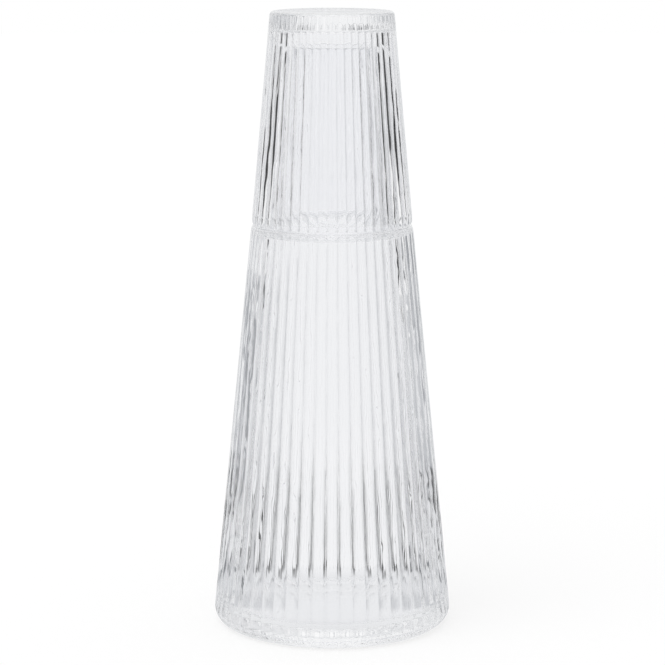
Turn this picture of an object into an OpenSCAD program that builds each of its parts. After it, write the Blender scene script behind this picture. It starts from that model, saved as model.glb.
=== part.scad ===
// Bedside carafe with its tumbler: a ribbed glass cone with a slim neck, and a ribbed tumbler
// turned upside down over the neck, its rim on the ledge of the carafe.
// Millimetres, +Z up. The origin is the middle of the circle on which the carafe stands.

/* [Body] */
// Height of the ledge that carries the tumbler
ledge_height = 181; // [130:1:240]
// Diameter of the body cone, over the ribs, where it would meet the table
foot_diameter = 108; // [92:0.5:130]
// Diameter of the body cone and of the tumbler, over the ribs, at the ledge
ledge_diameter = 71.8; // [66:0.2:80]
// Glass in the body wall behind the grooves
body_wall = 2.6; // [1.6:0.1:4.5]
// Glass in the middle of the base
body_floor = 8; // [5:0.5:16]
// Outer rounding of the heel
heel_rounding = 7; // [3:0.5:11]
// Inner rounding between the floor and the wall
inner_heel_rounding = 6; // [4:0.5:20]
// Width of the flat ring on which the carafe stands
stand_width = 3; // [1:0.5:8]
// Rise of the shallow hollow under the base
base_rise = 1.4; // [0.4:0.1:3]

/* [Shoulder] */
// Height of the smooth band between the ribs and the ledge
band_height = 1.8; // [1.7:0.1:10]
// Step from the rib crests in to the smooth band
band_inset = 0.55; // [0.3:0.05:0.8]
// Rounding of the outer edge of the ledge
ledge_rounding = 1.4; // [0.6:0.1:1.6]
// Distance from the body cone in to the neck, along the ledge
ledge_width = 8.6; // [7.5:0.1:12]
// Glass under the ledge
ledge_thickness = 2.4; // [2.2:0.1:6]
// Rounding inside the shoulder
shoulder_rounding = 2; // [1.5:0.5:7]
// Rounding where the neck rises from the ledge
neck_root_rounding = 3; // [1:0.2:4]

/* [Neck] */
// Gap between the lip of the neck and the floor of the tumbler over it
neck_top_gap = 7.6; // [3:0.2:40]
// Outer diameter of the neck just under its lip
neck_top_diameter = 37.4; // [30:0.2:44]
// Glass in the neck wall
neck_wall = 2.6; // [1.6:0.1:4]

/* [Tumbler] */
// Height of the tumbler from its rim to its foot
tumbler_height = 94; // [70:1:120]
// Diameter of the tumbler cone, over the ribs, at its foot
tumbler_foot_diameter = 54.6; // [50:0.2:64]
// Glass in the tumbler wall behind the grooves
tumbler_wall = 2.8; // [2.6:0.1:4]
// Glass in the middle of the tumbler's floor
tumbler_floor = 7.4; // [4:0.2:14]
// Outer rounding of the tumbler's foot
tumbler_foot_rounding = 1.6; // [0.6:0.1:4]
// Inner rounding between the tumbler's floor and its wall
tumbler_inner_rounding = 1.6; // [1:0.1:8]
// Width of the flat ring of the tumbler's foot
tumbler_stand_width = 2; // [0.5:0.1:5]
// Rise of the shallow hollow in the tumbler's foot
tumbler_foot_rise = 0.9; // [0.3:0.1:2]
// Step from the rib crests in to the smooth lip of the tumbler
lip_inset = 0.5; // [0.3:0.05:0.8]
// Height of the smooth lip of the tumbler
lip_height = 2.6; // [2:0.1:6]
// Outer rounding of the tumbler's lip, as a share of its thickness
lip_round_share = 0.55; // [0.2:0.05:0.6]
// Inner rounding of the tumbler's lip, as a share of its thickness
inner_lip_round_share = 0.3; // [0.1:0.05:0.35]

/* [Ribs] */
// Ribs round each of the two pieces
rib_count = 54; // [36:2:72]
// Height over which the ribs run out at the ledge and at the tumbler's lip
run_out = 2.2; // [1:0.1:5]
// Depth of the grooves between the ribs, as a share of the radius there
groove_depth_share = 0.013; // [0.006:0.001:0.018]
// Radius of the hollow of a groove, as a share of the radius there
groove_round_share = 0.05; // [0.03:0.002:0.06]

/* [Glass colour] */
// Red share of the colour
glass_red_share = 0.93; // [0:0.01:1]
// Green share of the colour
glass_green_share = 0.96; // [0:0.01:1]
// Blue share of the colour
glass_blue_share = 0.97; // [0:0.01:1]
// Share of the light that the glass stops in the preview
glass_cover_share = 0.45; // [0.1:0.05:1]

/* [Hidden] */

glass_colour = [glass_red_share, glass_green_share, glass_blue_share, glass_cover_share];
arc_steps = 7;
hollow_steps = 5;
round_steps = 120;
groove_steps = 24;

foot_radius = foot_diameter / 2;
ledge_radius = ledge_diameter / 2;
body_slope = (foot_radius - ledge_radius) / ledge_height;
body_lean = atan(body_slope);
neck_foot_radius = ledge_radius - ledge_width;
neck_top_radius = neck_top_diameter / 2;
neck_height = tumbler_height - tumbler_floor - neck_top_gap;
neck_slope = (neck_foot_radius - neck_top_radius) / neck_height;
neck_lean = atan(neck_slope);
lip_level = ledge_height + neck_height;
tumbler_top = ledge_height + tumbler_height;
tumbler_foot_radius = tumbler_foot_diameter / 2;
tumbler_slope = (ledge_radius - tumbler_foot_radius) / tumbler_height;
tumbler_lean = atan(tumbler_slope);

// Radius over the rib crests at a height
function body_crest(level) = foot_radius - body_slope * level;
function tumbler_crest(level) = ledge_radius - tumbler_slope * (level - ledge_height);

// Radius of the inner walls at a height
function body_bore(level) = body_crest(level) * (1 - groove_depth_share) - body_wall;
function tumbler_bore(level) = tumbler_crest(level) * (1 - groove_depth_share) - tumbler_wall;
function neck_face(level) = neck_foot_radius - neck_slope * (level - ledge_height);
function neck_bore(level) = neck_face(level) - neck_wall;

// Points of an arc round [across, up], from one angle to the other
function arc(across, up, radius, from, to) = [
    for (step = [0 : arc_steps])
        let (angle = from + (to - from) * step / arc_steps)
            [across + radius * cos(angle), up + radius * sin(angle)]
];

// Points of a shallow domed hollow, from its middle out to its edge
function hollow(radius, level, rise) = [
    for (step = [0 : hollow_steps])
        let (share = step / hollow_steps)
            [radius * share, level + rise * (1 - share * share)]
];

// Distance along a level line from its corner with a leaning wall to the middle of an arc
// that touches both: for a corner at the toe of the wall, and for one at its top
function toe_reach(radius, lean) = radius * (1 + sin(lean)) / cos(lean);
function top_reach(radius, lean) = radius * (1 - sin(lean)) / cos(lean);

// Grooves that run along a cone from one level to the other
module grooves(low_radius, low_level, high_radius, high_level) {
    middle_share = 1 - groove_depth_share + groove_round_share;
    run = (low_radius - high_radius) * middle_share;
    rise = high_level - low_level;
    for (rib = [0 : rib_count - 1])
        rotate([0, 0, (rib + 1 / 2) * 360 / rib_count - 90])
            translate([low_radius * middle_share, 0, low_level])
                rotate([0, -atan(run / rise), 0])
                    cylinder(h = norm([run, rise]), r1 = low_radius * groove_round_share,
                             r2 = high_radius * groove_round_share, $fn = groove_steps);
}

// Outline of the carafe: round the outside from the axis up to the lip, then down the inside
heel_middle = foot_radius - toe_reach(heel_rounding, body_lean);
band_top = body_crest(ledge_height) - band_inset;
band_level = ledge_height - band_height;
ledge_arc_middle = band_top - top_reach(ledge_rounding, body_lean);
neck_root_middle = neck_foot_radius + top_reach(neck_root_rounding, neck_lean);
lip_radius = neck_wall * cos(neck_lean) / 2;
lip_middle = neck_face(lip_level - lip_radius) - neck_wall / 2;
shoulder_level = ledge_height - ledge_thickness;
shoulder_middle = body_bore(shoulder_level) - top_reach(shoulder_rounding, body_lean);
inner_root_rounding = neck_root_rounding / 2;
inner_root_middle = neck_bore(shoulder_level) + top_reach(inner_root_rounding, neck_lean);
inner_heel_middle = body_bore(body_floor) - toe_reach(inner_heel_rounding, body_lean);

carafe_outline = concat(
    hollow(heel_middle - stand_width, 0, base_rise),
    arc(heel_middle, heel_rounding, heel_rounding, -90, body_lean),
    [
        [body_crest(band_level - run_out), band_level - run_out],
        [body_crest(band_level) - band_inset, band_level]
    ],
    arc(ledge_arc_middle, ledge_height - ledge_rounding, ledge_rounding, body_lean, 90),
    arc(neck_root_middle, ledge_height + neck_root_rounding, neck_root_rounding, 270, 180 + neck_lean),
    arc(lip_middle, lip_level - lip_radius, lip_radius, neck_lean, 180 + neck_lean),
    arc(inner_root_middle, shoulder_level + inner_root_rounding, inner_root_rounding, 180 + neck_lean, 270),
    arc(shoulder_middle, shoulder_level - shoulder_rounding, shoulder_rounding, 90, body_lean),
    arc(inner_heel_middle, body_floor + inner_heel_rounding, inner_heel_rounding, body_lean, -90),
    [[0, body_floor]]
);

// Outline of the tumbler upside down: from the rim up the outside, then down the inside
lip_band_level = ledge_height + lip_height;
lip_thickness = ledge_radius - lip_inset - tumbler_bore(ledge_height);
lip_rounding = lip_thickness * lip_round_share;
inner_lip_rounding = lip_thickness * inner_lip_round_share;
lip_arc_middle = ledge_radius - lip_inset - toe_reach(lip_rounding, tumbler_lean);
foot_arc_middle = tumbler_foot_radius - top_reach(tumbler_foot_rounding, tumbler_lean);
cup_level = tumbler_top - tumbler_floor;
cup_arc_middle = tumbler_bore(cup_level) - top_reach(tumbler_inner_rounding, tumbler_lean);
inner_lip_middle = tumbler_bore(ledge_height) + top_reach(inner_lip_rounding, tumbler_lean);

function reversed(points) = [for (step = [len(points) - 1 : -1 : 0]) points[step]];

tumbler_outline = concat(
    [[0, cup_level]],
    arc(cup_arc_middle, cup_level - tumbler_inner_rounding, tumbler_inner_rounding, 90, tumbler_lean),
    arc(inner_lip_middle, ledge_height + inner_lip_rounding, inner_lip_rounding, 180 + tumbler_lean, 270),
    arc(lip_arc_middle, ledge_height + lip_rounding, lip_rounding, -90, tumbler_lean),
    [
        [tumbler_crest(lip_band_level) - lip_inset, lip_band_level],
        [tumbler_crest(lip_band_level + run_out), lip_band_level + run_out]
    ],
    arc(foot_arc_middle, tumbler_top - tumbler_foot_rounding, tumbler_foot_rounding, tumbler_lean, 90),
    reversed(hollow(foot_arc_middle - tumbler_stand_width, tumbler_top, -tumbler_foot_rise))
);

module carafe() {
    color(glass_colour)
        difference() {
            rotate_extrude($fn = round_steps)
                polygon(carafe_outline);
            grooves(body_crest(0), 0, body_crest(band_level), band_level);
        }
}

module tumbler() {
    color(glass_colour)
        difference() {
            rotate_extrude($fn = round_steps)
                polygon(tumbler_outline);
            grooves(tumbler_crest(lip_band_level), lip_band_level, tumbler_foot_radius, tumbler_top);
        }
}

carafe();
tumbler();
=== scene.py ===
import math

import bpy
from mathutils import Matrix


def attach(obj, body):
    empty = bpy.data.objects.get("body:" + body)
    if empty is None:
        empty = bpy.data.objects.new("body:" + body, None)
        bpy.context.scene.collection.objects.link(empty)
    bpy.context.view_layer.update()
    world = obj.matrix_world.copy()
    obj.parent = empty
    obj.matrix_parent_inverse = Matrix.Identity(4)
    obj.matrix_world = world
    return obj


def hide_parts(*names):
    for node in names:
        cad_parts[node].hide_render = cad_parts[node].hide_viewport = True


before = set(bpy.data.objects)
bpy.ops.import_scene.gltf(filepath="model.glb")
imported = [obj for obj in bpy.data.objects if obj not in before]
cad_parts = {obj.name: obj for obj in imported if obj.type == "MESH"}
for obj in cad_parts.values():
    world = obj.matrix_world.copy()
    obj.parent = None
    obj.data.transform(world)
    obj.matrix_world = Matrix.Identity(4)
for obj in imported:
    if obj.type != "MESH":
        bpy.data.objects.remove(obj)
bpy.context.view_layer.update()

# Directions in the outlines, in radians
UP = math.pi / 2
DOWN = -math.pi / 2
BACK = math.pi

# Metres and radians, for the meshes
MM = 0.001
ON_AXIS = 1e-5
LEAST_TURN = 1e-7
WELD = 1e-5

# Ribs, alike on both pieces. The depth of a groove is a share of the radius.
RIBS = 54
RIB_PITCH = 2 * math.pi / RIBS
RIB_COLUMNS = 12
COLUMN_CROWDING = 1.6
GROOVE_SHARE = 0.013
GROOVE_STEEPNESS = 3.0

# Sizes of the glass from here on are in millimetres. A point further than this from the bore
# is on the outside.
GROOVED_SKIN = 1.2

# Carafe. The scene stays this much inside the outside of the CAD.
INSET = 0.05
LEDGE = 181.0
LEDGE_R = 35.9 - INSET
FOOT_R = 54.0 - INSET
NECK_FOOT_R = 27.3
NECK_TOP_R = 18.7
LIP = 260.0
BODY_WALL = 2.6
NECK_WALL = 2.6
BODY_FLOOR = 8.0
LEDGE_THICKNESS = 2.4
HEEL_ROUNDING = 7.0
STANDING_RING = 3.0
RING_ROUNDING = 0.4
BASE_HOLLOW = 1.4
LEDGE_ROUNDING = 1.4
NECK_ROOT_ROUNDING = 3.0
INNER_ROOT_ROUNDING = 1.5
SHOULDER_ROUNDING = 2.0
INNER_HEEL_ROUNDING = 6.0

# Gaps between the last point of a wall or level and its rounding
LEDGE_EDGE_GAP = 0.3
NECK_ROOT_GAP = 0.4
NECK_BORE_GAP = 2.0
INNER_HEEL_GAP = 1.0

# How far the carafe's crests lie inside its leaning face, by depth below the ledge
SHOULDER_TRIM = [(3.4, 0), (2.8, 0.03), (2.3, 0.08), (1.8, 0.14)]
LEDGE_TRIM = 0.2

# Where the carafe's grooves begin and end, and how long they take to reach their full depth
HEEL_GROOVE_START = 1.0
HEEL_GROOVE_RUN = 3.4
HEEL_SKIN_START = 0.3
SHOULDER_GROOVE_END = 0.6
SHOULDER_GROOVE_RUN = 1.3

# Tumbler, upside down on the ledge
TUMBLER_TOP = 275.0
TUMBLER_FOOT_R = 27.3
TUMBLER_WALL = 2.8
TUMBLER_FLOOR = 7.4
CUP_ROUNDING = 1.6
FOOT_ROUNDING = 1.6
FOOT_RING = 2.0
FOOT_RING_ROUNDING = 0.3
FOOT_HOLLOW = 0.9
LIP_GAP = 0.04
LIP_OUTER_ROUNDING = 1.5
LIP_INNER_ROUNDING = 0.8
LIP_TRIM = 0.25
LIP_INNER_GAP = 0.4
FOOT_ROUNDING_GAP = 0.2

# How far the tumbler's crests lie inside its leaning face, by height above the ledge
RIM_TRIM = [(1.9, 0.2), (2.4, 0.14), (3.0, 0.08), (3.8, 0.02)]

# Where the tumbler's grooves begin and end
RIM_GROOVE_START = 0.5
RIM_GROOVE_RUN = 1.3
FOOT_GROOVE_END = 0.2
FOOT_GROOVE_RUN = 1.8

BODY_LEAN = math.atan((FOOT_R - LEDGE_R) / LEDGE)
NECK_LEAN = math.atan((NECK_FOOT_R - NECK_TOP_R) / (LIP - LEDGE))
TUMBLER_LEAN = math.atan((LEDGE_R - TUMBLER_FOOT_R) / (TUMBLER_TOP - LEDGE))


# Outlines of the glass

def body_face(z):
    return FOOT_R - (FOOT_R - LEDGE_R) * z / LEDGE


def body_bore(z):
    return body_face(z) * (1 - GROOVE_SHARE) - BODY_WALL


def neck_face(z):
    return NECK_FOOT_R - (NECK_FOOT_R - NECK_TOP_R) * (z - LEDGE) / (LIP - LEDGE)


def neck_bore(z):
    return neck_face(z) - NECK_WALL


def tumbler_face(z):
    return LEDGE_R - (LEDGE_R - TUMBLER_FOOT_R) * (z - LEDGE) / (TUMBLER_TOP - LEDGE)


def tumbler_bore(z):
    return tumbler_face(z) * (1 - GROOVE_SHARE) - TUMBLER_WALL


def toe(radius, lean):
    """Level distance from a corner to the middle of its rounding, in a corner under a right angle."""
    return radius * (1 + math.sin(lean)) / math.cos(lean)


def crown(radius, lean):
    """The same, in a corner over a right angle."""
    return radius * (1 - math.sin(lean)) / math.cos(lean)


def bend(r, z, radius, start, end, steps):
    """Points of a rounding, from one angle to the other in radians."""
    turn = (end - start) / steps
    return [(r + radius * math.cos(start + turn * i), z + radius * math.sin(start + turn * i))
            for i in range(steps + 1)]


def wall(face, low, high, steps):
    """Points up or down a leaning wall, without its two ends."""
    rise = (high - low) / steps
    return [(face(low + rise * i), low + rise * i) for i in range(1, steps)]


def dish(radius, z, rise, steps):
    """Points of a shallow hollow, from its middle to its edge."""
    return [(radius * i / steps, z + rise * (1 - (i / steps) ** 2)) for i in range(steps + 1)]


def carafe_outside():
    """Up from the middle of the base, round the heel and over the ledge."""
    heel = FOOT_R - toe(HEEL_ROUNDING, BODY_LEAN)
    edge = body_face(LEDGE) - LEDGE_TRIM - crown(LEDGE_ROUNDING, BODY_LEAN)
    root = NECK_FOOT_R + crown(NECK_ROOT_ROUNDING, NECK_LEAN)
    line = dish(heel - STANDING_RING, 0, BASE_HOLLOW, 7)
    line += [(heel - STANDING_RING + RING_ROUNDING, 0), (heel - RING_ROUNDING, 0)]
    line += bend(heel, HEEL_ROUNDING, HEEL_ROUNDING, DOWN, BODY_LEAN, 16)
    line += wall(body_face, line[-1][1], LEDGE - SHOULDER_TRIM[0][0], 12)
    line += [(body_face(LEDGE - below) - trim, LEDGE - below) for below, trim in SHOULDER_TRIM]
    line += bend(edge, LEDGE - LEDGE_ROUNDING, LEDGE_ROUNDING, BODY_LEAN, UP, 8)
    line += [(edge - LEDGE_EDGE_GAP, LEDGE), (root + NECK_ROOT_GAP, LEDGE)]
    line += bend(root, LEDGE + NECK_ROOT_ROUNDING, NECK_ROOT_ROUNDING, 3 * UP, BACK + NECK_LEAN, 7)
    return line


def carafe_inside():
    """Down from the shoulder's crown to the middle of the floor."""
    under = LEDGE - LEDGE_THICKNESS
    root = neck_bore(under) + crown(INNER_ROOT_ROUNDING, NECK_LEAN)
    shoulder = body_bore(under) - crown(SHOULDER_ROUNDING, BODY_LEAN)
    heel = body_bore(BODY_FLOOR) - toe(INNER_HEEL_ROUNDING, BODY_LEAN)
    line = bend(root, under + INNER_ROOT_ROUNDING, INNER_ROOT_ROUNDING, BACK + NECK_LEAN, 3 * UP, 5)
    line += bend(shoulder, under - SHOULDER_ROUNDING, SHOULDER_ROUNDING, UP, BODY_LEAN, 8)
    line += wall(body_bore, line[-1][1], BODY_FLOOR + INNER_HEEL_ROUNDING + INNER_HEEL_GAP, 10)
    line += bend(heel, BODY_FLOOR + INNER_HEEL_ROUNDING, INNER_HEEL_ROUNDING, BODY_LEAN, DOWN, 12)
    line += [(heel * i / 6, BODY_FLOOR) for i in (5, 4, 3, 2, 1, 0)]
    return line


def carafe_outline():
    lip = NECK_WALL * math.cos(NECK_LEAN) / 2
    lip_z = LIP - lip
    line = carafe_outside()
    line += wall(neck_face, line[-1][1], lip_z, 8)
    line += bend(neck_face(lip_z) - NECK_WALL / 2, lip_z, lip, NECK_LEAN, BACK + NECK_LEAN, 12)
    line += wall(neck_bore, line[-1][1], LEDGE - LEDGE_THICKNESS + NECK_BORE_GAP, 8)
    line += carafe_inside()
    return line


def tumbler_outline():
    cup_z = TUMBLER_TOP - TUMBLER_FLOOR
    cup = tumbler_bore(cup_z) - crown(CUP_ROUNDING, TUMBLER_LEAN)
    rest_z = LEDGE + LIP_GAP
    inner_z = rest_z + LIP_INNER_ROUNDING
    lip_in = tumbler_bore(rest_z) + crown(LIP_INNER_ROUNDING, TUMBLER_LEAN)
    lip_out = LEDGE_R - LIP_TRIM - toe(LIP_OUTER_ROUNDING, TUMBLER_LEAN)
    foot = TUMBLER_FOOT_R - crown(FOOT_ROUNDING, TUMBLER_LEAN)
    foot_z = TUMBLER_TOP - FOOT_ROUNDING
    line = [(cup * i / 5, cup_z) for i in range(5)]
    line += bend(cup, cup_z - CUP_ROUNDING, CUP_ROUNDING, UP, TUMBLER_LEAN, 8)
    line += wall(tumbler_bore, line[-1][1], inner_z + LIP_INNER_GAP, 14)
    line += bend(lip_in, inner_z, LIP_INNER_ROUNDING, BACK + TUMBLER_LEAN, 3 * UP, 5)
    line += bend(lip_out, rest_z + LIP_OUTER_ROUNDING, LIP_OUTER_ROUNDING, DOWN, TUMBLER_LEAN, 7)
    line += [(tumbler_face(LEDGE + above) - trim, LEDGE + above) for above, trim in RIM_TRIM]
    line += wall(tumbler_face, LEDGE + RIM_TRIM[-1][0], foot_z - FOOT_ROUNDING_GAP, 16)
    line += bend(foot, foot_z, FOOT_ROUNDING, TUMBLER_LEAN, UP, 8)
    line += [(foot - FOOT_RING_ROUNDING, TUMBLER_TOP)]
    line += dish(foot - FOOT_RING, TUMBLER_TOP, -FOOT_HOLLOW, 6)[::-1]
    return line


# Grooves between the ribs

def ease(share):
    """Soft step from nothing to one."""
    share = min(1.0, max(0.0, share))
    return share * share * (3 - 2 * share)


def carafe_groove(z):
    """Share of the full groove depth at a height: it runs out on the heel and at the ledge."""
    return (ease((z - HEEL_GROOVE_START) / HEEL_GROOVE_RUN)
            * ease((LEDGE - SHOULDER_GROOVE_END - z) / SHOULDER_GROOVE_RUN))


def carafe_skin(r, z):
    """Whether a point lies on the part of the outside that is grooved."""
    return HEEL_SKIN_START < z < LEDGE - SHOULDER_GROOVE_END and r > body_bore(z) + GROOVED_SKIN


def tumbler_groove(z):
    return (ease((z - LEDGE - RIM_GROOVE_START) / RIM_GROOVE_RUN)
            * ease((TUMBLER_TOP - FOOT_GROOVE_END - z) / FOOT_GROOVE_RUN))


def tumbler_skin(r, z):
    return z > LEDGE + RIM_GROOVE_START and r > tumbler_bore(z) + GROOVED_SKIN


def crowd(across):
    """Columns of points stand closer together near the groove than on the crest of the rib."""
    return math.copysign(1 - (1 - abs(across)) ** COLUMN_CROWDING, across)


def pick(mesh, wanted):
    """Select the points with these numbers and nothing else, ready for the next edit."""
    bpy.ops.object.mode_set(mode="EDIT")
    bpy.ops.mesh.select_mode(type="VERT")
    bpy.ops.mesh.select_all(action="DESELECT")
    bpy.ops.object.mode_set(mode="OBJECT")
    for number in wanted:
        mesh.vertices[number].select = True
    bpy.ops.object.mode_set(mode="EDIT")


def draw_outline(name, line):
    """One point drawn out, step by step, into the outline of the glass."""
    bpy.ops.object.select_all(action="DESELECT")
    bpy.ops.mesh.primitive_plane_add(size=MM, location=(0, 0, 0))
    piece = bpy.context.object
    piece.name = name
    piece.data.name = name
    bpy.ops.object.mode_set(mode="EDIT")
    bpy.ops.mesh.select_all(action="SELECT")
    bpy.ops.mesh.merge(type="CENTER")
    first, *rest = line
    bpy.ops.transform.translate(value=(first[0] * MM, 0, first[1] * MM))
    here = first
    for point in rest:
        step = ((point[0] - here[0]) * MM, 0, (point[1] - here[1]) * MM)
        bpy.ops.mesh.extrude_region_move(TRANSFORM_OT_translate={"value": step})
        here = point
    bpy.ops.object.mode_set(mode="OBJECT")
    return piece


def turn_one_rib(mesh):
    """Spin the outline through one rib. Gives the numbers of the points in each column."""
    bpy.ops.object.mode_set(mode="EDIT")
    bpy.ops.mesh.select_all(action="SELECT")
    bpy.ops.mesh.spin(steps=RIB_COLUMNS, angle=RIB_PITCH, center=(0, 0, 0), axis=(0, 0, 1))
    bpy.ops.object.mode_set(mode="OBJECT")
    columns = {}
    for point in mesh.vertices:
        x, y = point.co.xy
        if math.hypot(x, y) > ON_AXIS:
            column = round(abs(math.atan2(y, x)) / RIB_PITCH * RIB_COLUMNS)
            columns.setdefault(column, []).append(point.index)
    return columns


def crowd_columns(mesh, columns):
    """Turn each column of points towards its nearer groove."""
    last = mesh.vertices[columns[RIB_COLUMNS][-1]].co
    side = math.copysign(1, math.atan2(last.y, last.x))
    for column, numbers in sorted(columns.items()):
        across = 2 * column / RIB_COLUMNS - 1
        turn_by = (crowd(across) - across) * RIB_PITCH / 2 * side
        if abs(turn_by) > LEAST_TURN:
            pick(mesh, numbers)
            bpy.ops.transform.rotate(value=-turn_by, orient_axis="Z", center_override=(0, 0, 0))
    bpy.ops.object.mode_set(mode="OBJECT")


def press_groove(mesh, columns, skin, groove):
    """Press the outside in, more towards the two edges of the rib."""
    column_of = {number: column for column, numbers in columns.items() for number in numbers}
    groups = {}
    for point in mesh.vertices:
        x, y, z = point.co
        r = math.hypot(x, y)
        if r < ON_AXIS or not skin(r / MM, z / MM):
            continue
        share = groove(z / MM)
        if share > 0:
            groups.setdefault((column_of[point.index], round(share, 3)), []).append(point.index)
    for (column, share), numbers in sorted(groups.items()):
        across = abs(crowd(2 * column / RIB_COLUMNS - 1))
        shrink = 1 - GROOVE_SHARE * share * across ** GROOVE_STEEPNESS
        if shrink < 1:
            pick(mesh, numbers)
            bpy.ops.transform.resize(value=(shrink, shrink, 1), center_override=(0, 0, 0))


def repeat_rib():
    """Copy the rib all round and weld the copies into one closed skin."""
    bpy.ops.object.mode_set(mode="EDIT")
    bpy.ops.mesh.select_all(action="SELECT")
    bpy.ops.mesh.spin(steps=RIBS - 1, dupli=True, angle=RIB_PITCH * (RIBS - 1), center=(0, 0, 0),
                      axis=(0, 0, 1))
    bpy.ops.mesh.select_all(action="SELECT")
    bpy.ops.mesh.remove_doubles(threshold=WELD)
    bpy.ops.mesh.normals_make_consistent(inside=False)
    bpy.ops.object.mode_set(mode="OBJECT")
    bpy.ops.object.shade_smooth()


def blow_glass(name, line, skin, groove):
    """Turn the outline through one rib, press the groove in, and repeat the rib all round."""
    piece = draw_outline(name, line)
    columns = turn_one_rib(piece.data)
    crowd_columns(piece.data, columns)
    press_groove(piece.data, columns, skin, groove)
    repeat_rib()
    return piece


carafe_glass = blow_glass("carafe_glass", carafe_outline(), carafe_skin, carafe_groove)
tumbler_glass = blow_glass("tumbler_glass", tumbler_outline(), tumbler_skin, tumbler_groove)

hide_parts("carafe")
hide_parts("tumbler")
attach(carafe_glass, "carafe_body")
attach(tumbler_glass, "tumbler_body")


# Glass

GLASS_TINT = (0.985, 0.986, 0.992, 1)
GLASS_BENDING = 1.52
LEVEL_FACES = (0.25, 0.8)
LEVEL_RIPPLE_SHARE = 0.06
RIPPLE_DETAIL = 1.0
SCUFF_GRAIN = 700.0
SCUFF_DETAIL = 4.0
SCUFF_RANGE = (0.42, 0.7)
SCUFF_ROUGHNESS = 0.35

# Heights in metres where the scuffs begin and are full: the standing ring and the tumbler's foot
WORN_RINGS = [(0.001, 0.0003), (0.2743, 0.2748)]

# Grain, share of it upward, and depth in metres of the unevenness of the wall
RIPPLES = [(60.0, 0.4, 0.0004), (260.0, 0.28, 0.0002)]


def node(tree, kind, **settings):
    made = tree.nodes.new(kind)
    for key, value in settings.items():
        setattr(made, key, value)
    return made


def feed(tree, value, socket):
    """Set a socket to a plain value, or link another socket to it."""
    if isinstance(value, bpy.types.NodeSocket):
        tree.links.new(value, socket)
    else:
        socket.default_value = value


def map_range(tree, value, start, end, low=0.0, high=1.0, smooth=False):
    """A value's way from start to end, given as a number from low to high."""
    ranged = node(tree, "ShaderNodeMapRange")
    if smooth:
        ranged.interpolation_type = "SMOOTHSTEP"
    for name, setting in (("From Min", start), ("From Max", end), ("To Min", low), ("To Max", high)):
        ranged.inputs[name].default_value = setting
    feed(tree, value, ranged.inputs["Value"])
    return ranged.outputs["Result"]


def math_node(tree, operation, *values):
    made = node(tree, "ShaderNodeMath", operation=operation)
    for slot, value in enumerate(values):
        feed(tree, value, made.inputs[slot])
    return made.outputs["Value"]


def split(tree, vector):
    made = node(tree, "ShaderNodeSeparateXYZ")
    tree.links.new(vector, made.inputs["Vector"])
    return made.outputs


def noise(tree, place, grain, detail):
    made = node(tree, "ShaderNodeTexNoise")
    made.inputs["Scale"].default_value = grain
    made.inputs["Detail"].default_value = detail
    tree.links.new(place, made.inputs["Vector"])
    return made.outputs["Fac"]


def ripple(tree, place, share, grain, upward, depth, under=None):
    """One size of unevenness of the wall, longer upward than across."""
    stretch = node(tree, "ShaderNodeMapping")
    stretch.inputs["Scale"].default_value = (1, 1, upward)
    tree.links.new(place, stretch.inputs["Vector"])
    bump = node(tree, "ShaderNodeBump")
    bump.inputs["Distance"].default_value = depth
    tree.links.new(share, bump.inputs["Strength"])
    tree.links.new(noise(tree, stretch.outputs["Vector"], grain, RIPPLE_DETAIL), bump.inputs["Height"])
    if under is not None:
        tree.links.new(under, bump.inputs["Normal"])
    return bump.outputs["Normal"]


def uneven_wall(tree, place):
    """Ripples, full on the upright walls and faint on the level faces."""
    level = math_node(tree, "ABSOLUTE", split(tree, place["Normal"])["Z"])
    share = map_range(tree, level, *LEVEL_FACES, 1.0, LEVEL_RIPPLE_SHARE, smooth=True)
    uneven = None
    for grain, upward, depth in RIPPLES:
        uneven = ripple(tree, place["Object"], share, grain, upward, depth, uneven)
    return uneven


def scuffed_rings(tree, place):
    """Fine scuffs where the glass stands on the table, and on the tumbler's upturned foot."""
    height = split(tree, place["Object"])["Z"]
    worn = math_node(tree, "MAXIMUM", *(map_range(tree, height, *ring) for ring in WORN_RINGS))
    scratch = noise(tree, place["Object"], SCUFF_GRAIN, SCUFF_DETAIL)
    return math_node(tree, "MULTIPLY", worn, map_range(tree, scratch, *SCUFF_RANGE, 0.0, SCUFF_ROUGHNESS))


def clear_glass(name):
    material = bpy.data.materials.new(name)
    material.use_nodes = True
    tree = material.node_tree
    tree.nodes.clear()
    out = node(tree, "ShaderNodeOutputMaterial")
    glass = node(tree, "ShaderNodeBsdfPrincipled")
    glass.inputs["Base Color"].default_value = GLASS_TINT
    glass.inputs["Transmission Weight"].default_value = 1.0
    glass.inputs["IOR"].default_value = GLASS_BENDING
    place = node(tree, "ShaderNodeTexCoord").outputs
    tree.links.new(scuffed_rings(tree, place), glass.inputs["Roughness"])
    tree.links.new(uneven_wall(tree, place), glass.inputs["Normal"])
    tree.links.new(glass.outputs["BSDF"], out.inputs["Surface"])
    return material


ribbed_glass = clear_glass("clear_ribbed_glass")
for piece in (carafe_glass, tumbler_glass):
    piece.data.materials.clear()
    piece.data.materials.append(ribbed_glass)


# Studio

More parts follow.
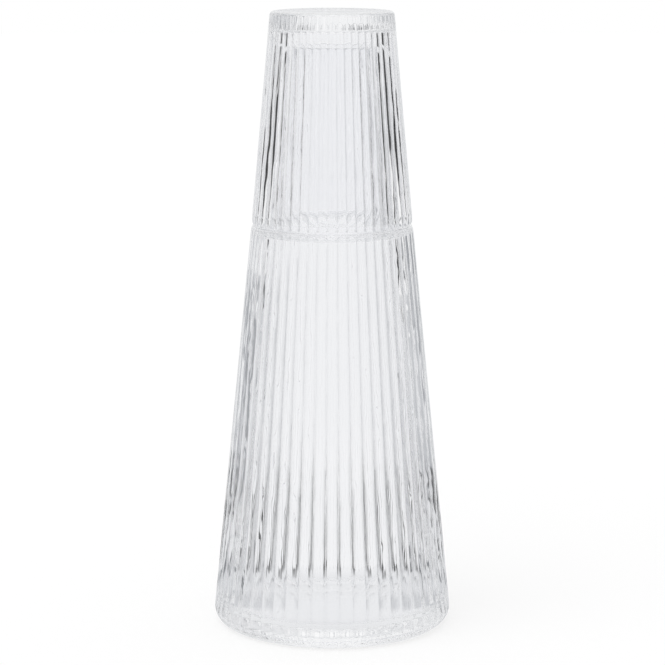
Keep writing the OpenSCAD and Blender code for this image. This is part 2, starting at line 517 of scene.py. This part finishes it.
# What the glass shows, and nothing else does: painted reflections, dark bands painted into the
# glow of the floor and the world, where they draw the edges of the ribs; the camera sees both plain.
# Each list is one ring of it, by degrees to the right of straight behind the object, and how light it is
# there.
FAR_VIEW = [
    (-180, 0.88), (-150, 0.94), (-80, 0.97), (-77, 0.0), (-68, 0.0), (-66, 0.9), (-64, 0.0), (-55, 0.0),
    (-53, 0.95), (-46, 0.88), (-42, 0.66), (-37, 0.66), (-33, 0.92), (-22, 0.98), (-15, 0.86), (-8, 0.98),
    (0, 0.82), (8, 0.98), (15, 0.84), (22, 0.94), (27, 0.7), (30, 0.34), (41, 0.34), (44, 0.95),
    (52, 0.97), (55, 0.0), (80, 0.0), (83, 0.92), (180, 0.88),
]
MIDDLE_VIEW = [
    (-180, 0.85), (-140, 0.85), (-100, 0.75), (-60, 0.6), (-51, 0.62), (-48, 0.34), (-40, 0.34),
    (-38, 0.62), (-33, 0.62), (-31, 0.42), (-28, 0.42), (-26, 0.92), (22, 0.9), (25, 0.85), (27, 0.38),
    (30, 0.38), (32, 0.5), (46, 0.6), (60, 0.62), (65, 0.45), (80, 0.45), (86, 0.6), (110, 0.75),
    (150, 0.8), (180, 0.85),
]
NEAR_VIEW = [
    (-180, 0.9), (-140, 0.85), (-110, 0.66), (-106, 0.15), (-97, 0.15), (-94, 0.68), (-67, 0.68),
    (-64, 0.22), (-59, 0.22), (-56, 0.85), (-41, 0.75), (-38, 0.0), (-28, 0.0), (-26, 0.9), (0, 0.94),
    (26, 0.9), (28, 0.0), (38, 0.0), (41, 0.75), (56, 0.85), (59, 0.22), (64, 0.22), (67, 0.68),
    (94, 0.68), (97, 0.15), (106, 0.15), (110, 0.66), (140, 0.85), (180, 0.9),
]
UNDER_VIEW = [
    (-180, 0.8), (-110, 0.85), (-95, 0.6), (-75, 0.6), (-60, 0.75), (0, 0.82), (60, 0.75), (75, 0.55),
    (95, 0.55), (110, 0.85), (180, 0.8),
]
LOW_SKY_VIEW = [
    (-180, 0.9), (-62, 0.85), (-46, 0.85), (-42, 0.15), (-32, 0.1), (-29, 0.6), (-26, 0.12), (-12, 0.15),
    (-8, 0.8), (0, 0.9), (8, 0.85), (15, 0.75), (18, 0.15), (25, 0.1), (29, 0.8), (36, 0.85),
    (39, 0.3), (48, 0.2), (52, 0.85), (180, 0.9),
]
ABOVE_VIEW = [
    (-180, 0.98), (-82, 0.98), (-72, 0.55), (-48, 0.55), (-42, 0.98), (-36, 0.98), (-32, 0.6), (-20, 0.6),
    (-14, 0.98), (0, 0.98), (14, 0.98), (20, 0.6), (32, 0.6), (36, 0.98), (42, 0.98), (48, 0.55),
    (72, 0.55), (82, 0.95), (180, 0.95),
]
# Painted reflection under the object, and how cool the painted dark bands are
UNDER_LEVEL = 0.82
PAINTED_REFLECTION_COOLNESS = 0.05
PAINTED_REFLECTION_BLUENESS = 1.6

# Upward share of the direction where one ring of the sky gives way to the next
LOW_SKY_BOTTOM = (0.028, 0.038)
LOW_SKY_TOP = (0.052, 0.062)
ABOVE_BOTTOM = (0.25, 0.35)

# Metres from the axis where one ring of the floor gives way to the next
UNDER_EDGE = (0.02, 0.034)
NEAR_EDGE = (0.046, 0.068)
MIDDLE_EDGE = (0.27, 0.46)
FAR_EDGE = (1.3, 1.7)

# The near painted dark bands (painted reflections) lie aslant: between these distances their angles are
# divided by these shares
ASLANT = (0.22, 0.45)
ASLANT_SHARES = (1.25, 0.85)

WHITE = (1, 1, 1, 1)
PALE_FLOOR = (0.8, 0.8, 0.8, 1)
FLOOR_SIZE = 8.0
FLOOR_GLOW = 1.04
FLOOR_GLOW_SHARE = 0.78
SKY_LIGHT = 0.7
KEY_ENERGY = 1.6
KEY_SOFTNESS = 60
KEY_PLACE = (-1, -1, 2)
KEY_TILT = 35
KEY_TURN = -40
GLASS_BOUNCES = 96


def painted_reflection_tone(level):
    """Colour of the painted reflections: the painted dark bands are a little cool, the white is not."""
    cool = PAINTED_REFLECTION_COOLNESS * (1 - level)
    return (level * (1 - cool), level, level * (1 + PAINTED_REFLECTION_BLUENESS * cool), 1)


def turn_of(tree, parts):
    """Angle of a place or direction to the right of straight behind the object."""
    return math_node(tree, "ARCTAN2", parts["X"], parts["Y"])


def view_ramp(tree, angle, view):
    """Colour ramp of one ring of the painted reflections."""
    ramp = node(tree, "ShaderNodeValToRGB")
    stops = ramp.color_ramp.elements
    while len(stops) > 1:
        stops.remove(stops[-1])
    stops[0].position = 0.0
    for i, (right, level) in enumerate(view):
        stop = stops[0] if i == 0 else stops.new((right + 180) / 360)
        stop.color = painted_reflection_tone(level)
    tree.links.new(map_range(tree, angle, -math.pi, math.pi), ramp.inputs["Fac"])
    return ramp.outputs["Color"]


def blend(tree, value, edge, before, after):
    """One ring of the studio before the edge, and the next one after it."""
    mix = node(tree, "ShaderNodeMix", data_type="RGBA")
    tree.links.new(map_range(tree, value, *edge, smooth=True), mix.inputs[0])
    feed(tree, before, mix.inputs[6])
    feed(tree, after, mix.inputs[7])
    return mix.outputs[2]


def join(tree, share, first, second):
    mix = node(tree, "ShaderNodeMixShader")
    feed(tree, share, mix.inputs["Fac"])
    tree.links.new(first, mix.inputs[1])
    tree.links.new(second, mix.inputs[2])
    return mix.outputs["Shader"]


def ray_kinds(tree):
    """One for rays that reach the studio by way of the glass, and one for the camera's own."""
    rays = node(tree, "ShaderNodeLightPath").outputs
    glassy = math_node(tree, "MAXIMUM", rays["Is Glossy Ray"], rays["Is Transmission Ray"])
    return glassy, rays["Is Camera Ray"]


def shine(tree, kind, output, colour, strength):
    """Glow of a background or a surface."""
    made = node(tree, kind)
    feed(tree, colour, made.inputs["Color"])
    made.inputs["Strength"].default_value = strength
    return made.outputs[output]


def hang_sky():
    """White to the camera, even light on the floor, and painted reflections with dark bands to the glass.
    """
    world = bpy.data.worlds.new("studio")
    bpy.context.scene.world = world
    world.use_nodes = True
    tree = world.node_tree
    tree.nodes.clear()
    out = node(tree, "ShaderNodeOutputWorld")
    direction = split(tree, node(tree, "ShaderNodeTexCoord").outputs["Generated"])
    turn = turn_of(tree, direction)
    height = direction["Z"]
    far = view_ramp(tree, turn, FAR_VIEW)
    seen = blend(tree, height, LOW_SKY_BOTTOM, far, view_ramp(tree, turn, LOW_SKY_VIEW))
    seen = blend(tree, height, LOW_SKY_TOP, seen, far)
    seen = blend(tree, height, ABOVE_BOTTOM, seen, view_ramp(tree, turn, ABOVE_VIEW))
    glassy, direct = ray_kinds(tree)
    even = shine(tree, "ShaderNodeBackground", "Background", WHITE, SKY_LIGHT)
    white = shine(tree, "ShaderNodeBackground", "Background", WHITE, 1.0)
    # Painted reflections: dark bands in the world that only the glass sees
    painted_reflections = shine(tree, "ShaderNodeBackground", "Background", seen, 1.0)
    both = join(tree, direct, join(tree, glassy, even, painted_reflections), white)
    tree.links.new(both, out.inputs["Surface"])


def floor_rings(tree, place):
    """The painted reflections with dark bands that the glass sees on the floor, from under the object to
    far behind it.
    """
    turn = turn_of(tree, split(tree, place))
    length = node(tree, "ShaderNodeVectorMath", operation="LENGTH")
    tree.links.new(place, length.inputs[0])
    reach = length.outputs["Value"]
    aslant = math_node(tree, "MULTIPLY", turn, map_range(tree, reach, *ASLANT, *ASLANT_SHARES))
    seen = blend(tree, reach, UNDER_EDGE, painted_reflection_tone(UNDER_LEVEL), view_ramp(tree, turn, UNDER_VIEW))
    seen = blend(tree, reach, NEAR_EDGE, seen, view_ramp(tree, aslant, NEAR_VIEW))
    seen = blend(tree, reach, MIDDLE_EDGE, seen, view_ramp(tree, turn, MIDDLE_VIEW))
    return blend(tree, reach, FAR_EDGE, seen, view_ramp(tree, turn, FAR_VIEW))


def pale_floor(name):
    """Pale and matt, near white to the camera with the object's shadow, and painted reflections to the
    glass.
    """
    material = bpy.data.materials.new(name)
    material.use_nodes = True
    tree = material.node_tree
    tree.nodes.clear()
    out = node(tree, "ShaderNodeOutputMaterial")
    place = node(tree, "ShaderNodeTexCoord").outputs
    glassy, direct = ray_kinds(tree)
    diffuse = node(tree, "ShaderNodeBsdfDiffuse")
    diffuse.inputs["Color"].default_value = PALE_FLOOR
    matt = diffuse.outputs["BSDF"]
    glow = shine(tree, "ShaderNodeEmission", "Emission", WHITE, FLOOR_GLOW)
    # Painted reflections glowing from the floor, seen only by the glass
    painted_reflections = shine(tree, "ShaderNodeEmission", "Emission", floor_rings(tree, place["Object"]), 1.0)
    shown = join(tree, direct, matt, join(tree, FLOOR_GLOW_SHARE, matt, glow))
    tree.links.new(join(tree, glassy, shown, painted_reflections), out.inputs["Surface"])
    return material


def lay_floor():
    bpy.ops.object.select_all(action="DESELECT")
    bpy.ops.mesh.primitive_plane_add(size=FLOOR_SIZE, location=(0, 0, 0))
    floor = bpy.context.object
    floor.name = "floor"
    floor.data.materials.append(pale_floor("pale_floor"))


def set_key():
    """One soft lamp for the floor and its shadow, which the glass doesn't mirror."""
    bpy.ops.object.select_all(action="DESELECT")
    bpy.ops.object.light_add(type="SUN", location=KEY_PLACE,
                             rotation=(math.radians(KEY_TILT), 0, math.radians(KEY_TURN)))
    key = bpy.context.object
    key.name = "soft_key"
    key.data.energy = KEY_ENERGY
    key.data.angle = math.radians(KEY_SOFTNESS)
    key.visible_glossy = False
    key.visible_transmission = False


hang_sky()
lay_floor()
set_key()

cycles = bpy.context.scene.cycles
cycles.max_bounces = GLASS_BOUNCES
cycles.transmission_bounces = GLASS_BOUNCES
cycles.glossy_bounces = GLASS_BOUNCES


# Camera, fitted to the outline in the photograph: metres, degrees downward, and millimetres

CAMERA_PLACE = (0.00018, -1.15782, 0.34178)
CAMERA_DOWN = 10.2652
CAMERA_LENS = 142.47
CAMERA_SENSOR = 36

eye = bpy.data.cameras.new("camera")
eye.sensor_width = CAMERA_SENSOR
eye.lens = CAMERA_LENS
camera = bpy.data.objects.new("camera", eye)
bpy.context.collection.objects.link(camera)
camera.location = CAMERA_PLACE
camera.rotation_euler = (math.radians(90 - CAMERA_DOWN), 0, 0)
bpy.context.scene.camera = camera

bpy.context.scene.view_settings.view_transform = "Standard"
